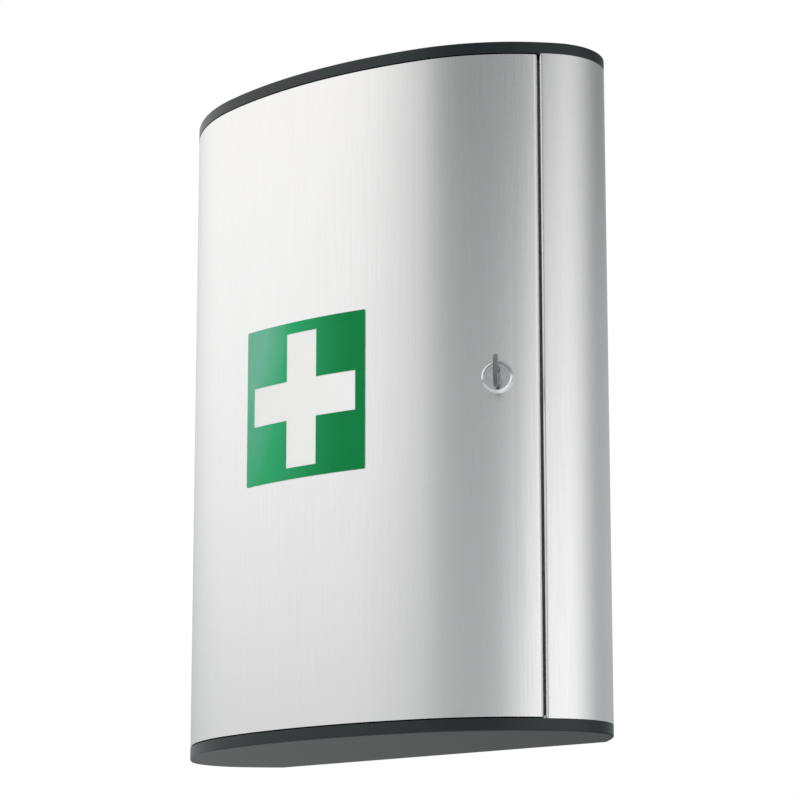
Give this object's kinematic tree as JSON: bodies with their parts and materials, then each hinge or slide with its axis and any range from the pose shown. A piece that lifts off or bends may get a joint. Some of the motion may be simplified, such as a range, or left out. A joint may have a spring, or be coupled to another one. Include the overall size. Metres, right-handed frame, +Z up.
{
  "type": "first aid cabinet",
  "caption": "Wall-mounted first aid cabinet with an oval plan, a curved hinged door with a cam lock and key, two shelves and plastic end caps.",
  "frame": {"origin": "centre of the four wall-screw holes, on the wall plane, at the cabinet's mid-height", "axes": "+X to the right of a person facing the cabinet, +Y into the wall, +Z up"},
  "size_m": [0.302, 0.1184, 0.4],
  "materials": {
    "brushed_aluminium": "vertically brushed, clear anodised",
    "painted_sheet": "light grey powder coat",
    "shelf_sheet": "pale grey powder coat",
    "anthracite_plastic": "fine moulded texture",
    "zinc_plated_steel": "bright zinc plate",
    "rivet_aluminium": "plain",
    "grey_foam": "closed-cell foam skin",
    "bush_plastic": "natural acetal",
    "lock_chrome": "bright nickel plate",
    "white_label": "satin vinyl",
    "green_print": "satin print on vinyl, a little faded towards the upper left",
    "key_steel": "nickel plated",
    "key_plastic": "fine moulded texture"
  },
  "bodies": {
    "cabinet": {"back_panel": "painted_sheet", "left_side_shell": "brushed_aluminium", "right_side_shell": "brushed_aluminium", "top_cap": "anthracite_plastic", "bottom_cap": "anthracite_plastic", "cap_screws": "zinc_plated_steel", "side_rivets": "rivet_aluminium", "shelf_lower": "shelf_sheet", "shelf_upper": "shelf_sheet", "shelf_brackets": "painted_sheet", "bracket_rivets": "rivet_aluminium", "strike_plate": "zinc_plated_steel", "strike_rivets": "rivet_aluminium", "door_seal": "grey_foam", "hinge_pin_lower": "zinc_plated_steel", "hinge_pin_upper": "zinc_plated_steel"},
    "door": {"door_skin": "brushed_aluminium", "door_bottom_rail": "anthracite_plastic", "door_top_rail": "anthracite_plastic", "hinge_bush_lower": "bush_plastic", "hinge_bush_upper": "bush_plastic", "lock_plate": "zinc_plated_steel", "lock_housing": "lock_chrome", "lock_nut": "zinc_plated_steel", "sign_base": "white_label", "sign_print": "green_print"},
    "lock_barrel": {"lock_plug": "lock_chrome", "lock_cam": "zinc_plated_steel", "cam_washer": "zinc_plated_steel", "cam_screw": "zinc_plated_steel"},
    "key": {"key_blade": "key_steel", "key_head": "key_plastic"}
  },
  "joints": [
    {"name": "door_hinge", "type": "hinge", "parent": "cabinet", "child": "door", "pos_m": [-0.12921, -0.07267, 0], "axis": [0, 0, -1], "range_deg": [0, 110]},
    {"name": "lock_turn", "type": "hinge", "parent": "door", "child": "lock_barrel", "pos_m": [0.11619, -0.08926, 0], "axis": [-0.5725, 0.8199, 0], "range_deg": [0, 90]},
    {"name": "key_slide", "type": "slide", "parent": "lock_barrel", "child": "key", "axis": [0.5725, -0.8199, 0], "range_m": [0, 0.014]}
  ]
}
